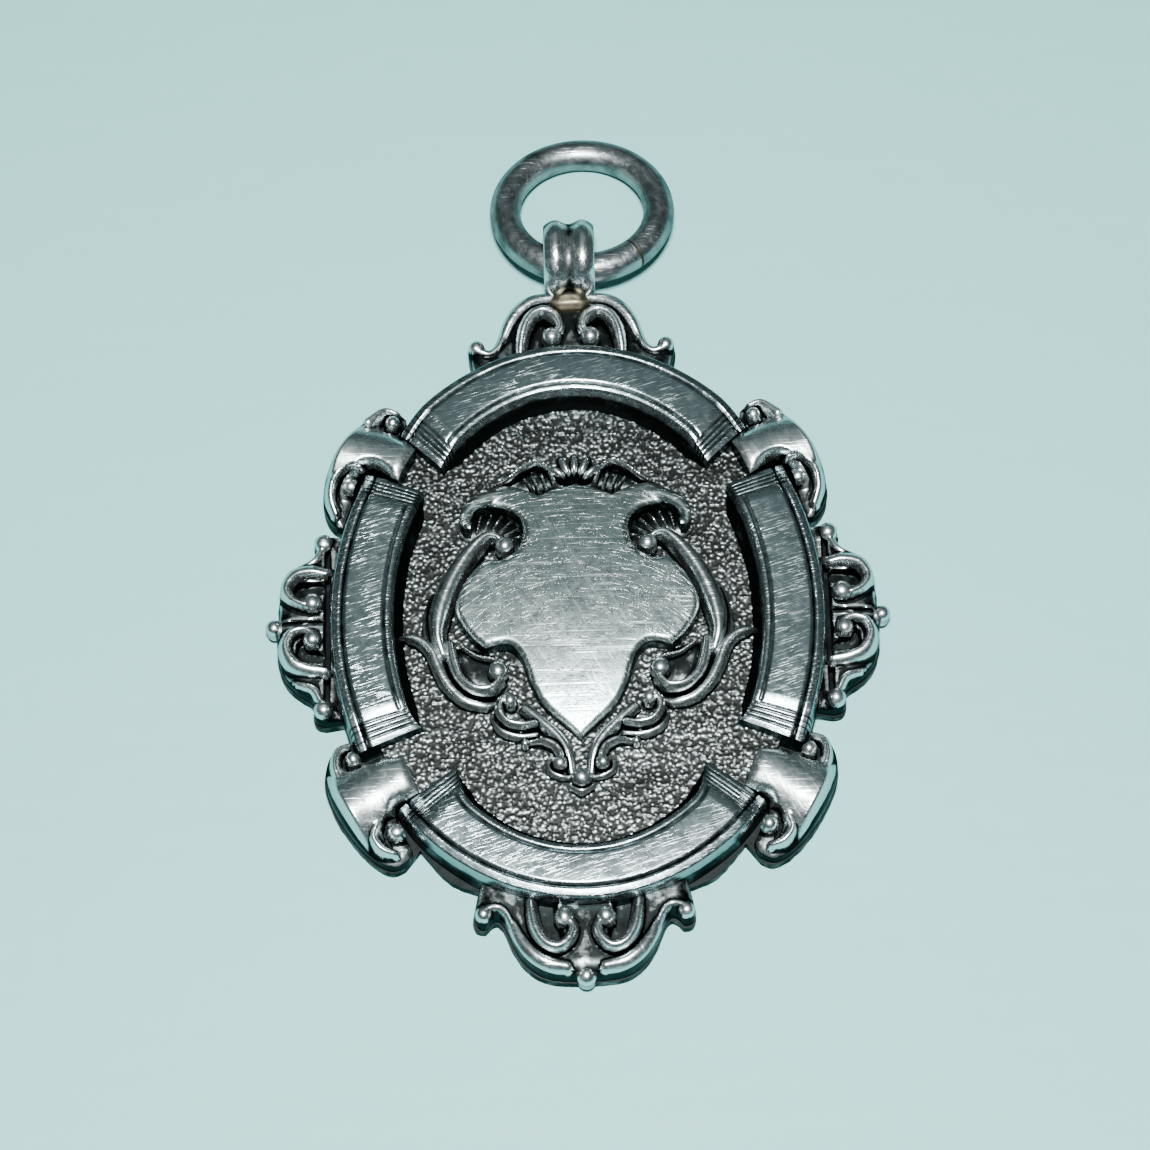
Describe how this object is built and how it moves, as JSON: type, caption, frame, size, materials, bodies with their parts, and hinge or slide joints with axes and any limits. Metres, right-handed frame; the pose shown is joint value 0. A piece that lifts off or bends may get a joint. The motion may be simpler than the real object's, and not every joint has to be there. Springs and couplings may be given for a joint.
{
  "type": "fob medal",
  "caption": "Oval silver fob medal with four ribbon banners, a blank shield in scrolls, a ridged strap bail and a free jump ring.",
  "frame": {"origin": "centre of the oval on the medal's back face", "axes": "+X to the right of the front, +Y towards the bail and ring, +Z out of the front"},
  "size_m": [0.027, 0.0408, 0.0038],
  "materials": {
    "polished_silver": "polished sterling silver, finely scratched",
    "relief_silver": "struck sterling silver, dark in the hollows and bright on the ridges",
    "oxidised_silver": "stippled and oxidised",
    "satin_silver": "plain sheet, worn satin",
    "bail_silver": "polished, worn",
    "ring_silver": "darkened round wire, worn bright in places",
    "solder": "yellowish hard solder"
  },
  "bodies": {
    "medal": {"arm_left": "relief_silver", "arm_right": "relief_silver", "back_plate": "satin_silver", "bail_loop": "bail_silver", "bail_solder": "solder", "banner_bottom": "polished_silver", "banner_left": "polished_silver", "banner_right": "polished_silver", "banner_top": "polished_silver", "bead_bottom": "relief_silver", "bead_left": "relief_silver", "bead_right": "relief_silver", "cartouche_bead": "relief_silver", "finial_bottom": "relief_silver", "finial_left": "relief_silver", "finial_right": "relief_silver", "finial_top": "relief_silver", "front_plate": "oxidised_silver", "furl_bottom_left": "polished_silver", "furl_bottom_right": "polished_silver", "furl_top_left": "polished_silver", "furl_top_right": "polished_silver", "lower_scroll_left": "relief_silver", "lower_scroll_right": "relief_silver", "shell_crest": "relief_silver", "shield_plate": "polished_silver", "small_scroll_left": "relief_silver", "small_scroll_right": "relief_silver"},
    "ring": {"jump_ring": "ring_silver", "ring_solder": "solder"}
  },
  "joints": [
    {"name": "ring_swing", "type": "hinge", "parent": "medal", "child": "ring", "pos_m": [0, 0.0174, 0.00204], "axis": [1, 0, 0], "range_deg": [-110, 170]}
  ]
}
